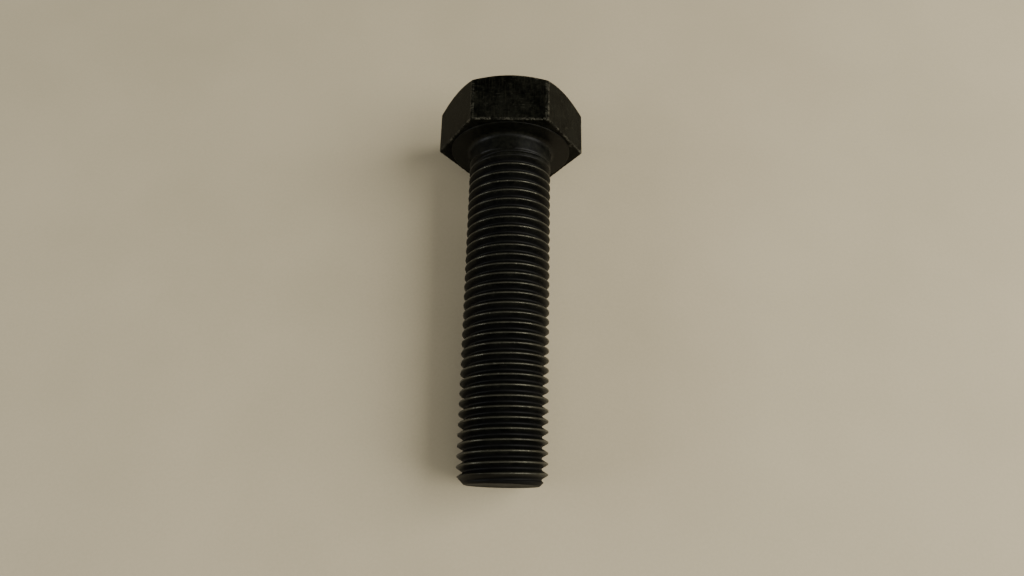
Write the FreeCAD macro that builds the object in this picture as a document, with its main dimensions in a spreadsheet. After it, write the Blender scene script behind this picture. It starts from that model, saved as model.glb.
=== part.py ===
import FreeCAD, Part
import math
import os
import re

import Sketcher
from FreeCAD import Vector

# Hex head bolt, M22 x 2.5, nominal length 90, threaded to the head, made as four regions that
# meet face to face. It lies along Y with its head towards +Y and two of its wrench flats level.
# The origin is on the axis, in the bearing face under the head.

doc = FreeCAD.newDocument("hex_bolt")

# Driving dimensions in millimetres, and angles in degrees.
DIMENSIONS = {
    "across_flats": 34.0,
    "across_corners": 39.1,
    "head_height": 14.0,
    "head_top_dia": 32.0,
    "head_chamfer_angle": 30.0,
    "washer_face_dia": 32.3,
    "washer_face_height": 0.25,
    "major_dia": 22.0,
    "under_head_fillet": 1.2,
    "neck_length": 5.0,
    "thread_start": 6.4,
    "bolt_length": 88.4,
    "thread_pitch": 2.5,
    "thread_depth": 1.5335,
    "crest_width": 0.3125,
    "flank_angle": 30.0,
    "first_crest": 6.3,
    "ridge_root_overlap": 0.25,
    "point_dia": 18.0,
    "point_angle": 45.0,
    "cut_margin": 3.0,
}

sheet = doc.addObject("Spreadsheet::Sheet", "Dimensions")
for row_number, (name, value) in enumerate(DIMENSIONS.items(), start=1):
    sheet.set(f"A{row_number}", name)
    sheet.set(f"B{row_number}", str(value))
    sheet.setAlias(f"B{row_number}", name)
doc.recompute()

AXIAL, RADIAL = 0, 1  # a sketch's own two directions, on the plane that holds the bolt's axis
START, FINISH, CENTRE = 1, 2, 3  # the points of a line or an arc that a constraint can hold
ORIGIN = (-1, START)
NECK_FOOT_RADIUS = "major_dia / 2 + under_head_fillet"


def number(expression):
    """The value of an expression in the sheet's names."""
    value = sheet.evalExpression(expression)
    return float(getattr(value, "Value", value))


def on_sheet(expression):
    """The expression as an object outside the sheet has to write it."""
    return re.sub(
        r"[a-z_]+",
        lambda word: f"Dimensions.{word[0]}" if word[0] in DIMENSIONS else word[0],
        expression,
    )


def new_body(label):
    body = doc.addObject("PartDesign::Body", label)
    body.Label = label
    body.Placement = FreeCAD.Placement()
    return body


def new_sketch(body, name, plane_role):
    plane = next(item for item in body.Origin.OriginFeatures if item.Role == plane_role)
    sketch = body.newObject("Sketcher::SketchObject", name)
    sketch.AttachmentSupport = [(plane, "")]
    sketch.MapMode = "FlatFace"
    return sketch


def fix_point(sketch, line, end, corner):
    """Hold one end of a line at a corner, given as an axial and a radial expression."""
    for direction, kind in ((AXIAL, "DistanceX"), (RADIAL, "DistanceY")):
        expression = corner[direction]
        if number(expression) == 0:
            sketch_axis = -2 if direction == AXIAL else -1
            sketch.addConstraint(Sketcher.Constraint("PointOnObject", line, end, sketch_axis))
            continue
        distance = Sketcher.Constraint(kind, *ORIGIN, line, end, number(expression))
        index = sketch.addConstraint(distance)
        sketch.setExpression(f"Constraints[{index}]", on_sheet(expression))


def outline(sketch, corners):
    """A closed outline of straight lines between corners, each an axial and a radial expression."""
    points = [Vector(number(axial), number(radial), 0) for axial, radial in corners]
    for index, start in enumerate(points):
        end = points[(index + 1) % len(points)]
        sketch.addGeometry(Part.LineSegment(start, end))
    for index, corner in enumerate(corners):
        before = (index - 1) % len(corners)
        sketch.addConstraint(Sketcher.Constraint("Coincident", before, FINISH, index, START))
        fix_point(sketch, index, START, corner)


def turned(body, sketch, name, kind="PartDesign::Revolution"):
    """Turn a sketch a full circle about the bolt's axis."""
    feature = body.newObject(kind, name)
    feature.Profile = sketch
    feature.ReferenceAxis = (sketch, ["H_Axis"])
    feature.Angle = 360
    sketch.Visibility = False
    doc.recompute()


def cut_away(body, sketch, name):
    """Turn a sketch about the axis as a cut, and make sure that it took material off."""
    before = body.Shape.Volume
    turned(body, sketch, name, "PartDesign::Groove")
    if not body.Shape.Volume < before:
        raise RuntimeError(f"{name} cut nothing")


def draw_hexagon(sketch):
    """A hexagon about the origin, with corners to the left and right and its flats level above and below."""
    corner_radius = number("across_flats / 2 / cos(30)")
    turns = [math.radians(60 * side) for side in range(6)]
    corners = [Vector(math.cos(turn), math.sin(turn), 0) * corner_radius for turn in turns]
    for side, corner in enumerate(corners):
        sketch.addGeometry(Part.LineSegment(corner, corners[(side + 1) % 6]))
    circle = sketch.addGeometry(Part.Circle(Vector(), Vector(0, 0, 1), corner_radius), True)
    sketch.addConstraint(Sketcher.Constraint("Coincident", circle, CENTRE, *ORIGIN))
    for side in range(6):
        sketch.addConstraint(Sketcher.Constraint("Coincident", side, FINISH, (side + 1) % 6, START))
        sketch.addConstraint(Sketcher.Constraint("PointOnObject", side, START, circle))
    for side in range(1, 6):
        sketch.addConstraint(Sketcher.Constraint("Equal", 0, side))
    upper_flat, lower_flat = 1, 5
    sketch.addConstraint(Sketcher.Constraint("Horizontal", upper_flat))
    between_flats = ("DistanceY", lower_flat, START, upper_flat, START)
    size = sketch.addConstraint(Sketcher.Constraint(*between_flats, number("across_flats")))
    sketch.setExpression(f"Constraints[{size}]", on_sheet("across_flats"))


def make_hex_head():
    """The hexagon above its bearing collar, with the turned chamfer round its top."""
    body = new_body("hex_head")
    section = new_sketch(body, "hexagon", "XZ_Plane")
    draw_hexagon(section)
    block = body.newObject("PartDesign::Pad", "hexagon_block")
    block.Profile = section
    block.setExpression("Length", on_sheet("head_height - washer_face_height"))
    section.setExpression("AttachmentOffset.Base.z", on_sheet("-head_height"))
    section.Visibility = False
    doc.recompute()
    if abs(block.Shape.BoundBox.YMax - number("head_height")) > 1e-6:
        raise RuntimeError("the hexagon block stands on the wrong side of the bearing face")

    corner_top = "head_height - (across_corners - head_top_dia) / 2 * tan(head_chamfer_angle)"
    clear_of_head = "across_corners / 2 + cut_margin"
    rim = new_sketch(body, "chamfer_section", "YZ_Plane")
    outline(
        rim,
        [
            ("head_height", "head_top_dia / 2"),
            (corner_top, "across_corners / 2"),
            ("washer_face_height - cut_margin", "across_corners / 2"),
            ("washer_face_height - cut_margin", clear_of_head),
            ("head_height + cut_margin", clear_of_head),
            ("head_height + cut_margin", "head_top_dia / 2"),
        ],
    )
    cut_away(body, rim, "chamfer_and_corners")
    return body


def make_washer_face():
    """The thin round collar that bears on the work, a ring round the foot of the neck."""
    body = new_body("washer_face")
    section = new_sketch(body, "collar_section", "YZ_Plane")
    outline(
        section,
        [
            ("0", NECK_FOOT_RADIUS),
            ("0", "washer_face_dia / 2"),
            ("washer_face_height", "washer_face_dia / 2"),
            ("washer_face_height", NECK_FOOT_RADIUS),
        ],
    )
    turned(body, section, "collar")
    return body


def make_plain_neck():
    """The unthreaded length, flared by a fillet at the bearing face and carried up to the hexagon."""
    body = new_body("plain_neck")
    section = new_sketch(body, "neck_section", "YZ_Plane")
    corners = [
        ("washer_face_height", "0"),
        ("washer_face_height", NECK_FOOT_RADIUS),
        ("0", NECK_FOOT_RADIUS),
        ("-under_head_fillet", "major_dia / 2"),
        ("-neck_length", "major_dia / 2"),
        ("-neck_length", "0"),
    ]
    points = [Vector(number(axial), number(radial), 0) for axial, radial in corners]
    top_centre, top_rim, flare_top, flare_foot, wall_foot, foot_centre = points
    flare_centre = Vector(flare_foot.x, flare_top.y, 0)
    flare_middle = flare_centre + Vector(1, -1, 0).normalize() * number("under_head_fillet")
    section.addGeometry(
        [
            Part.LineSegment(top_centre, top_rim),
            Part.LineSegment(top_rim, flare_top),
            Part.Arc(flare_foot, flare_middle, flare_top),
            Part.LineSegment(flare_foot, wall_foot),
            Part.LineSegment(wall_foot, foot_centre),
            Part.LineSegment(foot_centre, top_centre),
        ]
    )
    top, bore_wall, flare, wall, foot, axis = range(6)
    joints = [
        (top, FINISH, bore_wall, START),
        (bore_wall, FINISH, flare, FINISH),
        (flare, START, wall, START),
        (wall, FINISH, foot, START),
        (foot, FINISH, axis, START),
        (axis, FINISH, top, START),
    ]
    for joint in joints:
        section.addConstraint(Sketcher.Constraint("Coincident", *joint))
    corner_ends = [
        (top, START),
        (bore_wall, START),
        (bore_wall, FINISH),
        (wall, START),
        (foot, START),
        (axis, START),
    ]
    for (line, end), corner in zip(corner_ends, corners):
        fix_point(section, line, end, corner)
    size = section.addConstraint(Sketcher.Constraint("Radius", flare, number("under_head_fillet")))
    section.setExpression(f"Constraints[{size}]", on_sheet("under_head_fillet"))
    turned(body, section, "neck")
    return body


def make_threaded_shank():
    """A root cylinder with a right-hand ridge wound on it, a plain land above, a chamfered point below."""
    body = new_body("threaded_shank")
    root = "(major_dia / 2 - thread_depth)"
    core = new_sketch(body, "core_section", "YZ_Plane")
    outline(
        core,
        [
            ("-thread_start", "0"),
            ("-thread_start", "major_dia / 2"),
            ("-thread_start - thread_depth * tan(flank_angle)", root),
            (f"-bolt_length + ({root} - point_dia / 2) / tan(point_angle)", root),
            ("-bolt_length", "point_dia / 2"),
            ("-bolt_length", "0"),
        ],
    )
    turned(body, core, "core")

    ridge_foot = f"({root} - ridge_root_overlap)"
    half_foot = "(crest_width / 2 + (thread_depth + ridge_root_overlap) * tan(flank_angle))"
    ridge = new_sketch(body, "ridge_section", "YZ_Plane")
    outline(
        ridge,
        [
            (f"-first_crest + {half_foot}", ridge_foot),
            ("-first_crest + crest_width / 2", "major_dia / 2"),
            ("-first_crest - crest_width / 2", "major_dia / 2"),
            (f"-first_crest - {half_foot}", ridge_foot),
        ],
    )
    wound = body.newObject("PartDesign::AdditiveHelix", "thread_ridge")
    wound.Profile = ridge
    wound.ReferenceAxis = (ridge, ["H_Axis"])
    wound.Mode = 0
    wound.setExpression("Pitch", on_sheet("thread_pitch"))
    wound.setExpression("Height", on_sheet("bolt_length - first_crest + thread_pitch"))
    wound.LeftHanded = False
    wound.Reversed = True
    ridge.Visibility = False
    doc.recompute()
    if wound.Shape.BoundBox.YMin > -number("bolt_length"):
        raise RuntimeError("the ridge runs towards the head")

    clear_of_thread = "major_dia / 2 + cut_margin"
    above = new_sketch(body, "above_thread_section", "YZ_Plane")
    outline(
        above,
        [
            ("-thread_start", "0"),
            ("cut_margin", "0"),
            ("cut_margin", clear_of_thread),
            ("-thread_start", clear_of_thread),
        ],
    )
    cut_away(body, above, "ridge_start_trim")

    land = new_sketch(body, "land_section", "YZ_Plane")
    outline(
        land,
        [
            ("-neck_length", "0"),
            ("-neck_length", "major_dia / 2"),
            ("-thread_start", "major_dia / 2"),
            ("-thread_start", "0"),
        ],
    )
    turned(body, land, "plain_land")

    chamfer_top = "-bolt_length + (major_dia - point_dia) / 2 / tan(point_angle)"
    point = new_sketch(body, "point_section", "YZ_Plane")
    outline(
        point,
        [
            ("-bolt_length", "0"),
            ("-bolt_length", "point_dia / 2"),
            (f"{chamfer_top} + cut_margin / tan(point_angle)", clear_of_thread),
            ("-bolt_length - thread_pitch - cut_margin", clear_of_thread),
            ("-bolt_length - thread_pitch - cut_margin", "0"),
        ],
    )
    cut_away(body, point, "chamfered_point")
    return body


def check(bodies):
    for item in doc.Objects:
        if "Invalid" in item.State or "Error" in item.State:
            raise RuntimeError(f"{item.Label} failed: {item.State}")
    for body in bodies:
        shape = body.Shape
        if shape.isNull() or not shape.isValid() or len(shape.Solids) != 1:
            raise RuntimeError(f"{body.Label} isn't one valid solid")


bodies = [make_hex_head(), make_washer_face(), make_plain_neck(), make_threaded_shank()]
doc.recompute()
check(bodies)

os.makedirs("parts", exist_ok=True)
for body in bodies:
    body.Shape.exportStep(f"parts/{body.Label}.step")
    box = body.Shape.optimalBoundingBox(False)
    print(f"{body.Label}: {body.Shape.Volume:.0f} mm3, Y {box.YMin:.2f} to {box.YMax:.2f}")
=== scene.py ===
import math

import bmesh
import bpy
from mathutils import Matrix, Vector, noise


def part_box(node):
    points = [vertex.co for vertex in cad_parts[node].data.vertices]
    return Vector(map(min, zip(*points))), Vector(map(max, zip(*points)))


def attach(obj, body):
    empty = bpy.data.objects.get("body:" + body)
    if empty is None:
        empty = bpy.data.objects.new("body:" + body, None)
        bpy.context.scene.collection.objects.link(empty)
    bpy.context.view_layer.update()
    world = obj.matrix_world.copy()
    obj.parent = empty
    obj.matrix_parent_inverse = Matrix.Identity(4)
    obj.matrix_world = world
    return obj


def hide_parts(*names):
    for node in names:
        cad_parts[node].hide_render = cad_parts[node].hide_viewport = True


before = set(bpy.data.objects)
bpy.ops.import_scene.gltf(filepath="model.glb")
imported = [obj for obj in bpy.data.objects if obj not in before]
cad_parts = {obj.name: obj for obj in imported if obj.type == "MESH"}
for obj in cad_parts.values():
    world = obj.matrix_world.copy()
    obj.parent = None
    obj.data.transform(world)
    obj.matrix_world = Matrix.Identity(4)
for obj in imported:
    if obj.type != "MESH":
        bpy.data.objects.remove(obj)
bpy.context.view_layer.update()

MM = 0.001
CENTRE = Vector((0, 0, 0))
AXIS = Vector((0, 1, 0))  # the bolt lies along Y, head towards +Y, with a wrench flat facing up

# ---------------------------------------------------------------- sizes, from the frame's boxes

head_low, head_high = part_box("hex_head")
collar_low, collar_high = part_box("washer_face")
neck_low, neck_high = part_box("plain_neck")
thread_low, thread_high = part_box("threaded_shank")

HEAD_BASE = head_low.y
HEAD_TOP = head_high.y
HALF_FLATS = head_high.z
CORNER_REACH = head_high.x
TOP_CIRCLE = 16.0 * MM
CHAMFER_FALL = math.tan(math.radians(30))
HEAD_EDGE_EASE = 0.24 * MM
DENT_BAND = 0.9 * MM  # width of the strip along the bearing-side rim that carries dents
DENT_DEPTH = 0.30 * MM

COLLAR_OUT = collar_high.x
COLLAR_IN = 12.2 * MM
BEARING_FACE = collar_low.y

NECK_END = neck_low.y + 0.9 * MM  # the first groove runs out a little above the joint of the two nodes
SHANK_RADIUS = thread_high.z
FILLET = 1.2 * MM

PITCH = 2.5 * MM
THREAD_DEPTH = 1.5335 * MM
CREST_FLAT = 0.3125 * MM
ROOT_ROUND = 0.361 * MM
CREST_ROUND = 0.20 * MM
FLANK = math.radians(30)
FIRST_GROOVE = -7.55 * MM  # middle of the first full groove, along the bolt's upper line
TURN_STEPS = 120
RUN_OUT = (-1.3, -0.55)  # turns over which the first groove deepens
BOLT_END = thread_low.y
POINT_RADIUS = 9.0 * MM
END_ROUND = 0.25 * MM
LAST_CREST = -86.4 * MM  # where the last thread crest touches the floor
SHARP_ANGLE = math.radians(50)  # edges sharper than this keep a hard line in the shading


# ---------------------------------------------------------------- small tools for the meshes

def radius_of(point):
    return math.hypot(point.x, point.z)


def set_radius(vert, radius, y):
    """Moves a point straight in or out from the bolt's axis, and along it."""
    old = radius_of(vert.co)
    share = radius / old if old > 0 else 0
    vert.co = Vector((vert.co.x * share, y, vert.co.z * share))


def ease(value, low, high):
    share = min(max((value - low) / (high - low), 0), 1)
    return share * share * (3 - 2 * share)


def profile_line(bm, points):
    """Draws a line of (radius, y) points in the plane that holds the axis and the upper wrench flat."""
    verts = [bm.verts.new((0, y, radius)) for radius, y in points]
    edges = [bm.edges.new(pair) for pair in zip(verts, verts[1:])]
    return verts + edges


def close_up(bm):
    bmesh.ops.remove_doubles(bm, verts=bm.verts[:], dist=1e-6)
    bmesh.ops.recalc_face_normals(bm, faces=bm.faces[:])


def turned(points, steps):
    """A turned part: the profile carried once round the axis."""
    bm = bmesh.new()
    line = profile_line(bm, points)
    bmesh.ops.spin(bm, geom=line, cent=CENTRE, axis=AXIS, angle=math.tau, steps=steps, use_merge=True)
    close_up(bm)
    return bm


def shut_end(bm, rim_y, rings):
    """Carries the open rim at rim_y inwards through (radius, y) rings, the last of them on the axis."""
    rim = [e for e in bm.edges if e.is_boundary and abs(e.verts[0].co.y - rim_y) < 0.01 * MM]
    for radius, y in rings:
        made = bmesh.ops.extrude_edge_only(bm, edges=rim)["geom"]
        for vert in [g for g in made if isinstance(g, bmesh.types.BMVert)]:
            set_radius(vert, radius, y)
        rim = [g for g in made if isinstance(g, bmesh.types.BMEdge)]


def finished_piece(bm, name, node, finish):
    """Makes the mesh a shown piece that stands for a CAD node."""
    for edge in bm.edges:
        edge.smooth = edge.calc_face_angle(0) < SHARP_ANGLE
    mesh = bpy.data.meshes.new(name)
    bm.to_mesh(mesh)
    bm.free()
    mesh.shade_smooth()
    mesh.materials.append(finish)
    piece = bpy.data.objects.new(name, mesh)
    bpy.context.scene.collection.objects.link(piece)
    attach(piece, "root")
    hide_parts(node)
    return piece


# ---------------------------------------------------------------- shader tools

class Amount:
    """A number in a material, so that node maths can be written as ordinary sums."""

    def __init__(self, finish, socket):
        self.finish = finish
        self.socket = socket

    def _sum(self, operation, *parts):
        node = self.finish.add("ShaderNodeMath", {"operation": operation}, dict(enumerate(parts)))
        return Amount(self.finish, node.outputs[0])

    def __add__(self, other):
        return self._sum("ADD", self, other)

    def __radd__(self, other):
        return self._sum("ADD", other, self)

    def __sub__(self, other):
        return self._sum("SUBTRACT", self, other)

    def __rsub__(self, other):
        return self._sum("SUBTRACT", other, self)

    def __mul__(self, other):
        return self._sum("MULTIPLY", self, other)

    def __rmul__(self, other):
        return self._sum("MULTIPLY", other, self)

    def __pow__(self, other):
        return self._sum("POWER", self, other)

    def __abs__(self):
        return self._sum("ABSOLUTE", self)

    def least(self, other):
        return self._sum("MINIMUM", self, other)

    def most(self, other):
        return self._sum("MAXIMUM", self, other)

    def ramp(self, low, high):
        """0 at low and 1 at high, eased between them."""
        settings = {"interpolation_type": "SMOOTHSTEP"}
        inputs = {"Value": self, "From Min": low, "From Max": high}
        node = self.finish.add("ShaderNodeMapRange", settings, inputs)
        return Amount(self.finish, node.outputs["Result"])


class Finish:
    """One surface finish: its material and the means of adding nodes to it."""

    def __init__(self, name):
        self.material = bpy.data.materials.new(name)
        self.material.use_nodes = True
        self.tree = self.material.node_tree
        self.tree.nodes.clear()
        place = self.add("ShaderNodeTexCoord").outputs["Object"]
        self.millimetres = self.add(
            "ShaderNodeVectorMath", {"operation": "SCALE"}, {"Vector": place, "Scale": 1000}
        ).outputs["Vector"]
        split = self.add("ShaderNodeSeparateXYZ", {}, {"Vector": self.millimetres}).outputs
        self.x = Amount(self, split["X"])
        self.y = Amount(self, split["Y"])
        self.z = Amount(self, split["Z"])
        self.radius = (self.x * self.x + self.z * self.z) ** 0.5

    def add(self, kind, settings=None, inputs=None):
        node = self.tree.nodes.new(kind)
        for key, value in (settings or {}).items():
            setattr(node, key, value)
        for key, value in (inputs or {}).items():
            if isinstance(value, Amount):
                value = value.socket
            if isinstance(value, bpy.types.NodeSocket):
                self.tree.links.new(value, node.inputs[key])
            else:
                node.inputs[key].default_value = value
        return node

    def speckle(self, size, detail=3, rough=0.55, stretch=(1, 1, 1), shift=0):
        """Soft noise with features about size millimetres across, drawn out along an axis by stretch."""
        scale = [1 / (size * s) for s in stretch]
        stretched = {"Vector": self.millimetres, "Scale": scale, "Location": [shift] * 3}
        place = self.add("ShaderNodeMapping", {}, stretched)
        inputs = {"Vector": place.outputs["Vector"], "Scale": 1.0, "Detail": detail, "Roughness": rough}
        return Amount(self, self.add("ShaderNodeTexNoise", {}, inputs).outputs["Fac"])

    def mix(self, share, first, second):
        """One colour going over to another as share goes from 0 to 1."""
        node = self.add("ShaderNodeMix", {"data_type": "RGBA"}, {0: share, 6: first, 7: second})
        return node.outputs[2]

    def bump(self, height, depth, strength=1.0):
        inputs = {"Height": height, "Distance": depth * MM, "Strength": strength}
        return self.add("ShaderNodeBump", {}, inputs).outputs["Normal"]

    def surface(self, colour, roughness, metallic, normal, gloss=0.5):
        inputs = {
            "Base Color": colour,
            "Roughness": roughness,
            "Metallic": metallic,
            "Normal": normal,
            "Specular IOR Level": gloss,
        }
        shader = self.add("ShaderNodeBsdfPrincipled", {}, inputs)
        self.add("ShaderNodeOutputMaterial", {}, {"Surface": shader.outputs["BSDF"]})
        return self.material


# ---------------------------------------------------------------- finishes

OXIDE_DEEP = (0.0012, 0.0013, 0.0009, 1)
OXIDE_BODY = (0.0062, 0.0064, 0.0045, 1)
OXIDE_OLIVE = (0.0220, 0.0210, 0.0130, 1)
RUBBED_EDGE = (0.1000, 0.0970, 0.0720, 1)
# painted shade: the near black that the thread grooves take on with depth
GROOVE_SHADE = (0.0010, 0.0010, 0.0009, 1)
FLAT_GLOSS = 0.025
ROUND_GLOSS = 0.11
TOOL_MARK_RATE = 24  # radians of tool mark to the millimetre


def oxide_ground(f):
    """The black oxide itself: deep cloudy black with olive flecks and a fine dry grain."""
    cloud = f.speckle(5.0, detail=4)
    mottle = f.speckle(1.1, detail=6, rough=0.65, shift=7)
    fleck = f.speckle(0.34, detail=4, rough=0.6, shift=23)
    grain = f.speckle(0.12, detail=2, shift=41)
    body = f.mix((cloud * 0.5 + mottle * 0.5).ramp(0.38, 0.62), OXIDE_DEEP, OXIDE_BODY)
    colour = f.mix((fleck * 0.6 + mottle * 0.4).ramp(0.56, 0.68) * 0.65, body, OXIDE_OLIVE)
    roughness = 0.40 + (cloud - 0.5) * 0.20 + (mottle - 0.5) * 0.22
    height = mottle * 0.55 + fleck * 0.30 + grain * 0.15
    return colour, roughness, height, mottle, fleck


def forged_finish():
    """The head: mottled flats with faint drawn streaks, and oxide rubbed off along the edges."""
    f = Finish("forged_black_oxide")
    colour, roughness, height, mottle, fleck = oxide_ground(f)
    side = math.sin(math.radians(60))
    up = abs(f.z)
    right = abs(f.x * side + f.z * 0.5)
    left = abs(f.x * side - f.z * 0.5)
    widest = up.most(right).most(left)
    second = up.least(right).most(up.most(right).least(left))
    flat = HALF_FLATS / MM
    base = HEAD_BASE / MM
    top = HEAD_TOP / MM
    circle = TOP_CIRCLE / MM
    reach = CORNER_REACH / MM

    streak = f.speckle(0.5, detail=3, stretch=(0.5, 9, 0.5), shift=11)
    scuff = f.speckle(0.45, detail=2, stretch=(7, 0.4, 7), shift=31).ramp(0.63, 0.70)
    colour = f.mix(streak.ramp(0.52, 0.72) * 0.30, colour, OXIDE_OLIVE)
    colour = f.mix(scuff * mottle.ramp(0.45, 0.60) * 0.25, colour, RUBBED_EDGE)

    corner = second.ramp(flat - 0.75, flat - 0.42) * f.y.ramp(top - 0.2, top - 3.0)
    rim = widest.ramp(flat - 0.45, flat - 0.10) * f.y.ramp(base + 0.75, base + 0.15)
    bevel_line = flat - 0.12
    cone = f.y + (f.radius - circle) * CHAMFER_FALL
    shoulder = widest.ramp(bevel_line - 0.3, bevel_line) * cone.ramp(top - 0.50, top - 0.08)
    ring = (1 - abs(f.radius - circle).ramp(0.05, 0.35)) * f.y.ramp(top - 0.35, top - 0.10)
    broken = (mottle * 0.55 + fleck * 0.45).ramp(0.44, 0.60)
    patch = f.speckle(3.2, detail=3, shift=57).ramp(0.42, 0.60)
    worn = (corner * 0.55).most(rim).most(shoulder * 0.6).most(ring * 0.6) * broken * (0.25 + 0.75 * patch)
    colour = f.mix(worn, colour, RUBBED_EDGE)
    roughness = roughness - worn * 0.12
    normal = f.bump(height + streak * 0.15, 0.10, 0.6)
    return f.surface(colour, roughness, worn * 0.7, normal, FLAT_GLOSS)


def lathe_finish(name, rings_along_y):
    """A turned face: the same oxide over fine tool marks round the axis."""
    f = Finish(name)
    colour, roughness, height, mottle, _ = oxide_ground(f)
    across = f.y if rings_along_y else f.radius
    wander = f.speckle(6.0, detail=2, shift=3) * 0.25
    wave = f.add("ShaderNodeMath", {"operation": "SINE"}, {0: (across + wander) * TOOL_MARK_RATE})
    tooling = Amount(f, wave.outputs[0]) * 0.5 + 0.5
    rub = mottle.ramp(0.52, 0.66)
    colour = f.mix(tooling * rub * 0.22, colour, OXIDE_OLIVE)
    roughness = roughness + tooling * 0.05 - rub * 0.05
    normal = f.bump(height * 0.6 + tooling * 0.25, 0.06, 0.5)
    return f.surface(colour, roughness, rub * 0.15, normal, ROUND_GLOSS)


def thread_finish():
    """The rolled thread: black flanks, grooves darkened towards the root with painted shade, crests
    burnished and nicked where they rub.
    """
    f = Finish("rolled_thread_oxide")
    colour, roughness, height, mottle, fleck = oxide_ground(f)
    outside = SHANK_RADIUS / MM
    root = outside - THREAD_DEPTH / MM
    groove = f.radius.ramp(outside - 0.25, root + 0.3)
    on_thread = f.y.ramp(-6.0, -9.2)
    crest = f.radius.ramp(outside - 0.16, outside - 0.02) * on_thread
    # painted shade: the colour goes to near black deeper in each groove
    colour = f.mix(groove * 0.8, colour, GROOVE_SHADE)
    drawn = f.speckle(1.6, detail=3, rough=0.6, shift=17)
    rub = (drawn * 0.6 + fleck * 0.4).ramp(0.36, 0.62)
    nick = f.speckle(0.8, detail=2, shift=71).ramp(0.66, 0.72)
    bright = crest * (0.35 + 0.65 * rub)
    colour = f.mix(bright * 0.55, colour, RUBBED_EDGE)
    colour = f.mix(nick * crest, colour, RUBBED_EDGE)
    roughness = roughness - bright * 0.13 + groove * 0.22
    normal = f.bump(height * 0.5 + nick * -0.6, 0.06, 0.5)
    return f.surface(colour, roughness, bright * 0.7, normal, ROUND_GLOSS)


def floor_finish():
    f = Finish("pale_matt_floor")
    cloud = f.speckle(60.0, detail=3)
    grain = f.speckle(0.7, detail=3, shift=5)
    tone = (cloud * 0.7 + grain * 0.3).ramp(0.3, 0.7)
    colour = f.mix(tone, (0.425, 0.370, 0.248, 1), (0.475, 0.413, 0.280, 1))
    return f.surface(colour, 0.72 + (grain - 0.5) * 0.1, 0.0, f.bump(grain, 0.03, 0.4), 0.3)


# ---------------------------------------------------------------- forged head

def side_reach(angle):
    """Distance from the axis to the head's side, in a direction measured from a corner."""
    sixth = math.tau / 6
    off_flat = (angle % sixth) - sixth / 2
    return min(HALF_FLATS / math.cos(off_flat), CORNER_REACH)


def chamfer_height(radius):
    return HEAD_TOP - (radius - TOP_CIRCLE) * CHAMFER_FALL


def make_forged_head():
    blank = CORNER_REACH
    shoulder = chamfer_height(blank)
    under = [0, 6 * MM, 12 * MM, 14 * MM, 16 * MM, 17.6 * MM, 18.6 * MM, blank]
    wall = [0.06, 0.18, 0.40, 0.62, 0.82, 0.94, 1.0]
    slope = [0.30, 0.65, 1.0]
    top = [15.2 * MM, 12.0 * MM, 8.0 * MM, 4.0 * MM, 0]
    points = [(r, HEAD_BASE) for r in under]
    points += [(blank, HEAD_BASE + (shoulder - HEAD_BASE) * s) for s in wall]
    points += [(r, chamfer_height(r)) for r in (blank + (TOP_CIRCLE - blank) * s for s in slope)]
    points += [(r, HEAD_TOP) for r in top]
    bm = turned(points, 360)

    still = 12 * MM
    for vert in bm.verts:
        radius = radius_of(vert.co)
        if radius < still:
            continue
        angle = math.atan2(vert.co.z, vert.co.x)
        crowd = angle - 0.7 * math.sin(6 * angle) / 6
        reach = side_reach(crowd)
        y = vert.co.y
        if y < HEAD_BASE + 1e-6:
            radius = still + (radius - still) * (reach - still) / (blank - still)
        elif radius > blank - 1e-6:
            y = HEAD_BASE + (y - HEAD_BASE) * (chamfer_height(reach) - HEAD_BASE) / (shoulder - HEAD_BASE)
            radius = reach
        elif radius > TOP_CIRCLE:
            radius = TOP_CIRCLE + (radius - TOP_CIRCLE) * (reach - TOP_CIRCLE) / (blank - TOP_CIRCLE)
            y = chamfer_height(radius)
        vert.co = Vector((math.cos(crowd) * radius, y, math.sin(crowd) * radius))

    sharp = [e for e in bm.edges if len(e.link_faces) == 2 and e.calc_face_angle(0) > math.radians(18)]
    bmesh.ops.bevel(
        bm, geom=sharp, offset=HEAD_EDGE_EASE, offset_type="OFFSET", segments=3, profile=0.5,
        affect="EDGES", clamp_overlap=True, material=-1,
    )
    close_up(bm)
    for vert in bm.verts:
        radius = radius_of(vert.co)
        reach = side_reach(math.atan2(vert.co.z, vert.co.x))
        near_base = ease(vert.co.y, HEAD_BASE + DENT_BAND, HEAD_BASE)
        near_rim = near_base * ease(radius, reach - DENT_BAND, reach - 0.2 * MM)
        dent = max(noise.noise(vert.co * 900) - 0.18, 0) * DENT_DEPTH * near_rim
        vert.co -= vert.normal * dent
    return finished_piece(bm, "forged_head", "hex_head", forged_finish())


# ---------------------------------------------------------------- bearing collar and neck

def make_bearing_collar():
    edge = 0.08 * MM
    middle = (COLLAR_IN + COLLAR_OUT) / 2
    points = [
        (COLLAR_IN, HEAD_BASE),
        (COLLAR_IN, BEARING_FACE),
        (COLLAR_IN + 0.4 * MM, BEARING_FACE),
        (middle, BEARING_FACE),
        (COLLAR_OUT - 3 * edge, BEARING_FACE),
        (COLLAR_OUT - edge, BEARING_FACE),
        (COLLAR_OUT - 0.3 * edge, BEARING_FACE + 0.3 * edge),
        (COLLAR_OUT, BEARING_FACE + edge),
        (COLLAR_OUT, HEAD_BASE),
        (middle, HEAD_BASE),
        (COLLAR_IN, HEAD_BASE),
    ]
    bm = turned(points, 240)
    return finished_piece(bm, "bearing_collar", "washer_face", lathe_finish("faced_collar_oxide", False))


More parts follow.
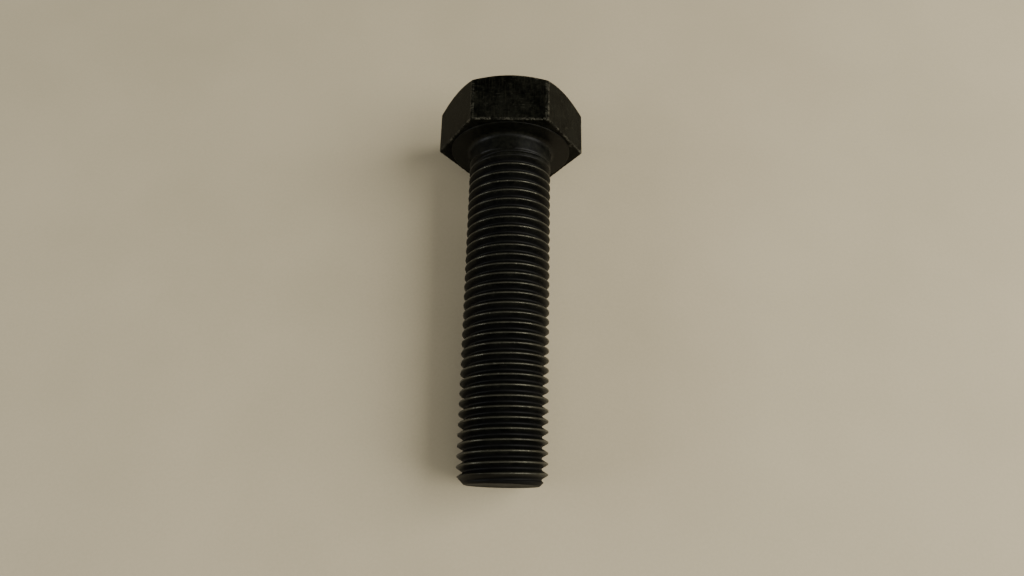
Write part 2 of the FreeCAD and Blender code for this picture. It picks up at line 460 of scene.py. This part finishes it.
def make_neck_and_fillet():
    sweep = [math.radians(a) for a in (15, 30, 45, 60, 75, 90)]
    hub = SHANK_RADIUS + FILLET
    points = [(0, neck_high.y), (COLLAR_IN, neck_high.y), (COLLAR_IN, BEARING_FACE)]
    points += [(hub - FILLET * math.sin(a), -FILLET * (1 - math.cos(a))) for a in sweep]
    points += [(SHANK_RADIUS, y * MM) for y in (-1.5, -2.2, -3.0, -3.7)]
    points += [(SHANK_RADIUS, NECK_END), (0, NECK_END)]
    bm = turned(points, 240)
    return finished_piece(bm, "neck_and_fillet", "plain_neck", lathe_finish("turned_neck_oxide", True))


# ---------------------------------------------------------------- rolled thread

def groove_profile():
    """Half a groove, from its root to the middle of the crest: (distance along the axis, depth)."""
    crest_edge = (PITCH - CREST_FLAT) / 2
    hub = crest_edge + CREST_ROUND * math.tan(FLANK)
    root = [math.radians(a) for a in (0, 20, 40, 60)]
    roll = [math.radians(a) for a in (60, 30, 0)]
    points = [(ROOT_ROUND * math.sin(a), THREAD_DEPTH - ROOT_ROUND * (1 - math.cos(a))) for a in root]
    crest = [(hub - CREST_ROUND * math.sin(a), CREST_ROUND * (1 - math.cos(a))) for a in roll]
    for share in (0.33, 0.67):
        start, stop = Vector(points[3]), Vector(crest[0])
        points.append(tuple(start.lerp(stop, share)))
    return points + crest + [(PITCH / 2, 0)]


def make_rolled_thread():
    half = groove_profile()
    line = [(-along, depth) for along, depth in reversed(half)] + half[1:]
    lead_in = 2
    turns = lead_in + math.ceil((FIRST_GROOVE - BOLT_END) / PITCH + 0.5)
    start = FIRST_GROOVE + lead_in * PITCH
    bm = bmesh.new()
    chain = profile_line(bm, [(SHANK_RADIUS - depth, start - along) for along, depth in line])
    bmesh.ops.spin(
        bm, geom=chain, cent=CENTRE, axis=-AXIS, angle=math.tau, steps=TURN_STEPS,
        dvec=-AXIS * PITCH / TURN_STEPS,
    )
    bmesh.ops.spin(
        bm, geom=bm.verts[:] + bm.edges[:] + bm.faces[:], cent=CENTRE, axis=AXIS, angle=0,
        steps=turns - 1, dvec=-AXIS * PITCH, use_duplicate=True,
    )

    rim = BOLT_END + END_ROUND * 0.6
    for vert in bm.verts:
        turn = math.atan2(-vert.co.x, vert.co.z) / math.tau
        along = (FIRST_GROOVE - vert.co.y) / PITCH
        groove = turn + round(along - turn)
        depth = SHANK_RADIUS - radius_of(vert.co)
        lift = THREAD_DEPTH * (1 - ease(groove, *RUN_OUT))
        radius = SHANK_RADIUS - max(depth - lift, 0)
        y = min(max(vert.co.y, rim), NECK_END)
        set_radius(vert, min(radius, POINT_RADIUS + y - BOLT_END), y)
    bmesh.ops.remove_doubles(bm, verts=bm.verts[:], dist=1e-6)
    shut_end(bm, NECK_END, [(6 * MM, NECK_END), (0, NECK_END)])
    end_rings = [
        (POINT_RADIUS + 0.07 * MM, BOLT_END + 0.07 * MM),
        (POINT_RADIUS - 0.06 * MM, BOLT_END + 0.015 * MM),
        (POINT_RADIUS - 0.22 * MM, BOLT_END),
        (POINT_RADIUS - 0.8 * MM, BOLT_END),
        (6 * MM, BOLT_END + 0.12 * MM),
        (3 * MM, BOLT_END + 0.20 * MM),
        (0, BOLT_END + 0.22 * MM),
    ]
    shut_end(bm, rim, end_rings)
    close_up(bm)
    return finished_piece(bm, "rolled_thread", "threaded_shank", thread_finish())


# ---------------------------------------------------------------- floor, lights and camera

def make_floor():
    """A plain pale board under the bolt, touching the head's lower flat and the last thread crest."""
    touch_head = Vector((0, HEAD_BASE, -HALF_FLATS))
    touch_thread = Vector((0, LAST_CREST, -SHANK_RADIUS))
    run = touch_head - touch_thread
    lean = math.atan2(run.z, run.y)
    bm = bmesh.new()
    bmesh.ops.create_grid(bm, x_segments=8, y_segments=8, size=0.9)
    bmesh.ops.rotate(bm, verts=bm.verts[:], cent=CENTRE, matrix=Matrix.Rotation(lean, 3, "X"))
    bmesh.ops.translate(bm, verts=bm.verts[:], vec=touch_head + Vector((0, 0, -0.02 * MM)))
    mesh = bpy.data.meshes.new("pale_floor")
    bm.to_mesh(mesh)
    bm.free()
    mesh.materials.append(floor_finish())
    floor = bpy.data.objects.new("pale_floor", mesh)
    bpy.context.scene.collection.objects.link(floor)


def soft_light(name, towards, distance, width, height, watts, colour):
    """A soft box that shines on the middle of the bolt from the direction given."""
    data = bpy.data.lights.new(name, "AREA")
    data.shape = "RECTANGLE"
    data.size = width
    data.size_y = height
    data.energy = watts
    data.color = colour
    lamp = bpy.data.objects.new(name, data)
    bpy.context.scene.collection.objects.link(lamp)
    way = Vector(towards).normalized()
    middle = Vector((0, (HEAD_TOP + BOLT_END) / 2, 0))
    aim = way.to_track_quat("Z", "Y").to_matrix().to_4x4()
    lamp.matrix_world = Matrix.Translation(middle + way * distance) @ aim


def make_lights():
    warm = (1.0, 0.97, 0.91)
    cool = (0.96, 0.98, 1.0)
    soft_light("right_soft_box", (0.80, -0.05, 0.60), 0.80, 0.70, 0.70, 11.5, warm)
    soft_light("left_soft_box", (-0.90, -0.10, 0.38), 0.80, 0.45, 0.35, 3.2, cool)
    soft_light("overhead_soft_box", (0.10, -0.50, 0.86), 0.90, 0.90, 0.60, 2.4, warm)
    world = bpy.data.worlds.new("studio")
    world.use_nodes = True
    background = world.node_tree.nodes["Background"]
    background.inputs["Color"].default_value = (0.80, 0.77, 0.70, 1)
    background.inputs["Strength"].default_value = 0.12
    bpy.context.scene.world = world


def make_camera():
    data = bpy.data.cameras.new("camera")
    data.lens = 25.05
    data.sensor_width = 36
    data.clip_start = 0.005
    camera = bpy.data.objects.new("camera", data)
    bpy.context.scene.collection.objects.link(camera)
    place = Vector((0.0056, -0.0982, 0.1740))
    lean = Matrix.Rotation(0.0246, 4, "Y")
    tilt = Matrix.Rotation(0.3275, 4, "X")
    roll = Matrix.Rotation(0.0245, 4, "Z")
    camera.matrix_world = Matrix.Translation(place) @ lean @ tilt @ roll
    bpy.context.scene.camera = camera


make_forged_head()
make_bearing_collar()
make_neck_and_fillet()
make_rolled_thread()
make_floor()
make_lights()
make_camera()
